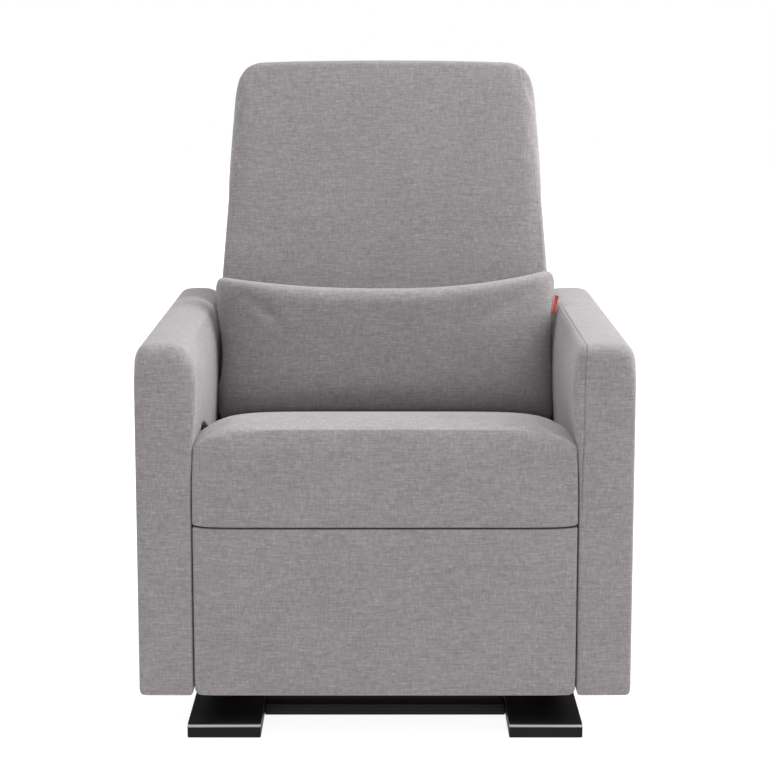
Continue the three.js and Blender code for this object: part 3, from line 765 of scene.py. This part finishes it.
def make_footrest():
    low, high = local_box("footrest_pad", UPRIGHT)
    low[X], high[X], high[Z] = low[X] - PANEL_OUT, high[X] + PANEL_OUT, high[Z] + PANEL_UP

    def warp(points):
        x, y, z = points.T
        curl = PANEL_CURL * np.exp(-from_side(x, high[X]) / CURL_RUN)
        return np.stack([x, y, z + curl * smooth(z, high[Z] - 0.03, high[Z])], 1)

    corner = changing(Z, low[Z], low[Z] + 0.035, 0.013, 0.004)
    bottom = changing(X, high[X] - 0.04, high[X], 0.006, 0.013)
    radii = ((corner, corner), (0.005, 0.003), (bottom, 0.003))
    made = block("footrest_cover", low, high, radii, warp=warp)
    dress(made, "footrest_panel", "footrest_pad", GREY)
    return Padding(made, 3 * MM, 1.5, hold_edges(low, high, 0.012))


# ---------------------------------------------------------------- arms and apron
ARM_LEAN = 2.0 * MM  # of the inner side towards the seat, above the seat
ARM_BELLY = 2.5 * MM  # its bulge between seat and top, and as much again halfway along
ARM_CROWN = 3.5 * MM  # of the top, across its width
APRON_OUT = 1.4 * MM  # how far the apron's cover stands past its CAD solid on each side
# The seams of the sitter's left arm: its inner panel is sewn on along the top edge and down the front, and
# a short cross seam runs outward at the rear.
ARM_SEAMS = [
    [
        (0.3112, 0.063, 0.65),
        (0.3128, -0.20, 0.65),
        (0.3142, -0.415, 0.65),
        (0.3142, -0.435, 0.640),
        (0.3142, -0.440, 0.600),
        (0.3138, -0.440, 0.500),
        (0.3115, -0.440, 0.440),
        (0.3090, -0.440, 0.380),
    ],
    [(0.3112, 0.063, 0.65), (0.325, 0.070, 0.65), (0.341, 0.088, 0.65)],
]


def make_arm(name, side, across, down, puff):
    """side is +1 for the sitter's left. The inner top edge is rounded by across and down, and the inner side
    puffs out near the front. It also bulges a little over the seat ahead of the back."""
    low, high = local_box("arm_cover_" + name, UPRIGHT)
    inner = min(abs(low[X]), abs(high[X]))
    middle = abs(low[X] + high[X]) / 2
    half = (high[X] - low[X]) / 2

    def warp(points):
        x, y, z = points.T
        faces_in = 1 - smooth(np.abs(x) - inner, 0.0, 0.035)
        ahead_of_back = 1 - smooth(y, 0.07, 0.16)
        near_front = 1 - smooth(y, -0.36, -0.13)
        under_edge = 1 - smooth(z, 0.598, 0.636)
        lean = ARM_LEAN * smooth(z, 0.38, 0.50)
        belly = ARM_BELLY * (1 + hump(y, -0.43, 0.07)) * hump(z, 0.42, 0.66)
        swell = ahead_of_back * (lean + belly) * under_edge + puff * near_front * hump(z, 0.475, 0.675)
        crown = ARM_CROWN * (1 - ((np.abs(x) - middle) / half) ** 2) * smooth(z, 0.56, 0.64)
        return np.stack([x - side * faces_in * swell, y, z + crown], 1)

    inside = changing(Z, 0.50, 0.60, 0.004, across)
    outside = changing(Z, 0.53, 0.61, 0.007, 0.020)
    front = changing(Z, 0.58, 0.63, 0.006, 0.024)
    top = changing(X, inner + 0.02, inner + 0.06, down, 0.028)
    x_radii = (inside, outside) if side > 0 else (outside, inside)
    made = block("arm_" + name, low, high, (x_radii, (front, 0.014), (0.013, top)), warp=warp)
    dress(made, "chair_body", "arm_cover_" + name, GREY)
    return Padding(made, 4 * MM, 1.5, hold_edges(low, high, 0.012))


def make_apron():
    low, high = local_box("rear_apron", UPRIGHT)
    low[X], high[X] = low[X] - APRON_OUT, high[X] + APRON_OUT
    made = block("apron_cover", low, high, ((0.006, 0.006), (0.006, 0.008), (0.008, 0.008)))
    dress(made, "chair_body", "rear_apron", GREY)
    return Padding(made, 3 * MM, 1.0, hold_edges(low, high, 0.012))


# ---------------------------------------------------------------- back
BACK_HALF = 0.2990  # half its width between the arms
BACK_TAPER, TAPER_FROM = 0.0715, 0.18  # narrowing per metre on each side, and the height where it starts
BACK_CROWN = 5 * MM  # rise of the top edge's middle
BACK_SINK = 3 * MM  # fall of the whole top edge
SEAM_IN = 6.5 * MM  # from the side boxing seam to the edge
SEAM_LOW, SEAM_HIGH = -0.09, 0.535  # its two ends, above the back's foot
GUSSET_HALF, GUSSET_THICK, GUSSET_SAG = 0.296, 2.4 * MM, 6 * MM
GUSSET_START, GUSSET_END = Vector((0, 0.246, 0.3565)), Vector((0, 0.318, 0.3425))
GUSSET_RIPPLE, RIPPLE_TURN = 1.2 * MM, 31  # its height, and radians per metre across


def back_half(s):
    """Half the width of the back, s metres above its foot: full between the arms, then narrowing evenly."""
    return BACK_HALF - BACK_TAPER * np.maximum(s - TAPER_FROM, 0)


def make_back(name, node, edges, cap):
    """The back cushion or the outside back, with edges as the radii of its front and rear edges."""
    low, high = local_box(node, LEANING)

    def warp(points):
        x, y, z = points.T
        near_top = np.clip((z - low[Z]) / (high[Z] - low[Z]), 0, 1) ** 8
        narrow = back_half(z - BACK_FOOT.z) / high[X]
        crown = BACK_CROWN * (1 - (x / high[X]) ** 2) * near_top
        return np.stack([x * narrow, y, z + crown - BACK_SINK * near_top], 1)

    corner = changing(Z, high[Z] - 0.10, high[Z] - 0.02, 0.012, 0.050)
    top = changing(X, high[X] - 0.10, high[X] - 0.02, 0.014, 0.038)
    made = block(name, low, high, ((corner, corner), edges, (0.016, top)), LEANING, warp)
    dress(made, "backrest", node, GREY)
    return Padding(made, cap, 2.0, hold_edges(low, high, 0.014))


def back_seams():
    """The side boxing seams, up each side just inside the edge and a little ahead of the front face."""
    ahead = local_box("back_cushion", LEANING)[0][Y] - 0.01
    heights = np.linspace(SEAM_LOW, SEAM_HIGH, 40)
    return [
        [(side * (back_half(s) - SEAM_IN), ahead, BACK_FOOT.z + s) for s in heights]
        for side in (-1, 1)
    ]


def make_gusset():
    """The fabric flap that closes the rear between the back's lower edge and the apron."""
    run = GUSSET_END - GUSSET_START
    low = (-GUSSET_HALF, 0, -GUSSET_THICK / 2)
    high = (GUSSET_HALF, run.length, GUSSET_THICK / 2)
    lay = Matrix.Translation(GUSSET_START) @ Matrix.Rotation(math.atan2(run.z, run.y), 4, "X")

    def warp(points):
        x, y, z = points.T
        ripple = GUSSET_RIPPLE * np.sin(x * RIPPLE_TURN)
        return np.stack([x, y, z + (ripple - GUSSET_SAG) * hump(y, 0, run.length)], 1)

    made = block("rear_gusset", low, high, ((MM, MM), (MM, MM), (MM, MM)), lay, warp, 6 * MM)
    made.data.materials.append(GREY)
    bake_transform(made)


# ---------------------------------------------------------------- pillow and tag
PILLOW_PLANE = -0.058  # its seam, measured through the back from the back's front face
PILLOW_LOW, PILLOW_TOP = -0.078, 0.161  # along the back, from the back's foot
PILLOW_HALF, PILLOW_CORNER = 0.306, 0.020
PILLOW_CELLS = (88, 1, 37)
PILLOW_GAP = 3 * MM  # kept to the back and the seat
PILLOW_FRONT, PILLOW_REAR = 0.069, 0.050  # how far the two panels stand out from the seam
TOP_HEAVY = 0.011  # added to the front at the top and taken off at the bottom
EDGE_HALF = 1.5 * MM  # half the thickness at the seam
# Its outline in u and v, which run from -1 to 1 across it and up it.
EAR_OUT, EAR_CURVE = 0.94, 2.4  # the top corners' rise is complete at this u, and how late it sets in
WAIST_AT, WAIST_SPREAD = -0.05, 0.55  # in v
STEEP = (5, 18)  # how near the bottom and the top edge the filling stays full
# The following are for the sitter's right and left side.
EARS = (0.021, 0.033)  # rise of the top corners
WAISTS = (0.015, 0.009)  # how far the side edges pull in halfway up
FEET = (0.007, 0.004)  # and at the bottom
BLUNT = (6, 4.2)  # how near the side edge the filling stays full
TAG_AT = Vector((0.3052, PILLOW_PLANE - 0.012, 0.1313))  # from the back's foot
TAG_TILT = math.radians(11)
TAG_HALF = (4.0 * MM, 1.0 * MM, 16.5 * MM)


def make_pillow():
    """Two panels sewn round the edge: raised top corners, the sitter's left one higher, and a hollow top
    edge."""
    unit, faces = lattice(PILLOW_CELLS)
    plane = unit.copy()
    plane[:, Y] = 0
    low, high = np.array([-PILLOW_HALF, -1, PILLOW_LOW]), np.array([PILLOW_HALF, 1, PILLOW_TOP])
    corners = (PILLOW_CORNER, PILLOW_CORNER)
    outline = rounded(plane, low, high, (corners, (1, 1), corners))
    u = outline[:, X] / PILLOW_HALF
    v = 2 * (outline[:, Z] - PILLOW_LOW) / (PILLOW_TOP - PILLOW_LOW) - 1

    def by_side(pair):
        return np.where(u < 0, *pair)

    ear = by_side(EARS) * np.clip(np.abs(u) / EAR_OUT, 0, 1) ** EAR_CURVE
    waist = by_side(WAISTS) * np.exp(-(((v - WAIST_AT) / WAIST_SPREAD) ** 2))
    foot = by_side(FEET) * (1 - smooth(v, -1.0, -0.4))
    x = outline[:, X] - np.sign(u) * (waist + foot) * np.abs(u) ** 4
    s = outline[:, Z] + ear * smooth(v, -0.6, 1.0)
    across = np.clip(1 - np.abs(u) ** by_side(BLUNT), 0, 1)
    upward = np.clip(1 - np.abs(v) ** np.where(v < 0, *STEEP), 0, 1)
    deep = np.where(unit[:, Y] < 0, PILLOW_FRONT + TOP_HEAVY * v, PILLOW_REAR)
    t = PILLOW_PLANE + unit[:, Y] * (EDGE_HALF + deep * np.sqrt(across * upward))
    points = np.stack([x, np.minimum(t, -PILLOW_GAP) + BACK_FOOT.y, s + BACK_FOOT.z], 1)
    made = soft_object("pillow", points, faces, LEANING)
    dress(made, "pillow", "lumbar_pillow", PILLOW_GREY)

    def hold(points):
        return (np.abs(points[:, Y] - BACK_FOOT.y - PILLOW_PLANE) < 4 * MM).astype(float)

    return Padding(made, 2.4 * MM, 1.6, hold)


def settle_pillow(made):
    """Presses the pillow's rear to the back and its underside to the seat, wherever it would sink in."""
    points = coordinates(made.data)
    points[:, Y] = np.minimum(points[:, Y], BACK_FOOT.y - 2 * MM)
    turn = np.array(LEANING)[:3, :3]
    world = points @ turn.T
    world[:, Z] = np.maximum(world[:, Z], seat_top(world[:, X], world[:, Y]) + PILLOW_GAP)
    set_coordinates(made.data, world @ turn)


def make_tag():
    """A plain folded ribbon caught in the pillow's side seam, leaning outward."""
    lay = LEANING @ Matrix.Translation(BACK_FOOT + TAG_AT) @ Matrix.Rotation(TAG_TILT, 4, "Y")
    half = np.array(TAG_HALF)

    def warp(points):
        x, y, z = points.T
        curl = 1.2 * MM * np.sin(z / half[Z] * 2.2) - 1.0 * MM * (x / half[X]) ** 2
        return np.stack([x, y + curl, z], 1)

    radii = ((0.4 * MM, 0.9 * MM), (0.6 * MM, 0.6 * MM), (0.6 * MM, 0.6 * MM))
    made = block("tag", -half, half, radii, lay, warp, 0.8 * MM)
    made.data.materials.append(RED)
    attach(made, "pillow")
    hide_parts("pillow_tag")
    refine(made)


# ---------------------------------------------------------------- base boards and pull
BOARDS = ("base_runner_left", "base_runner_right", "base_cross_rail_front", "base_cross_rail_rear")
FLAT_ANGLE = 0.01  # faces that meet at less than this are one, in radians
SHARP_ANGLE = math.radians(30)  # edges sharper than this are eased
CREASE_ANGLE = math.radians(35)  # and those still sharper than this are shaded as edges


def ease(node, width, segments):
    """Replaces a CAD node by a copy with its sharp edges eased by width."""
    source = NODES[node]
    mesh = bmesh.new()
    mesh.from_mesh(source.data)
    bmesh.ops.remove_doubles(mesh, verts=mesh.verts, dist=1e-6)
    bmesh.ops.dissolve_limit(mesh, angle_limit=FLAT_ANGLE, verts=mesh.verts, edges=mesh.edges)
    sharp = [edge for edge in mesh.edges if edge.is_manifold and edge.calc_face_angle(0) > SHARP_ANGLE]
    bmesh.ops.bevel(
        mesh, geom=sharp, offset=width, segments=segments, profile=0.5, affect="EDGES", clamp_overlap=True
    )
    data = bpy.data.meshes.new(node + "_eased")
    mesh.to_mesh(data)
    mesh.free()
    made = new_object(node + "_eased", data, source.matrix_world)
    smooth_shaded(data)
    data.set_sharp_from_angle(angle=CREASE_ANGLE)
    for material in source.data.materials:
        data.materials.append(material)
    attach(made, BODY_OF[node])
    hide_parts(node)


# ---------------------------------------------------------------- the scene
bpy.context.scene.view_settings.view_transform = "Standard"
make_camera()
make_world()
make_key_light()
make_floor()
paint_cad()
seat = make_seat()
footrest = make_footrest()
arm_left = make_arm("left", 1, across=0.012, down=0.022, puff=7.5 * MM)
arm_right = make_arm("right", -1, across=0.028, down=0.034, puff=5.5 * MM)
apron = make_apron()
back = make_back("back_pad", "back_cushion", (0.012, 0.006), 5 * MM)
outside = make_back("outside_back_cover", "outside_back", (0.004, 0.010), 3 * MM)
pillow = make_pillow()
padding = [seat, footrest, arm_left, arm_right, apron, back, outside, pillow]
inflate(padding)
settle_pillow(pillow.made)
for piece in padding:
    refine(piece.made)
sew(back.made, back_seams(), depth=0.25 * MM, width=1.0 * MM, shade=0.35, rounds=1)
sew(arm_left.made, ARM_SEAMS, depth=0.8 * MM, width=1.3 * MM, shade=1.0, rounds=2)
make_tag()
make_gusset()
for board in BOARDS:
    ease(board, 2.2 * MM, 3)
ease("release_pull", 0.8 * MM, 2)
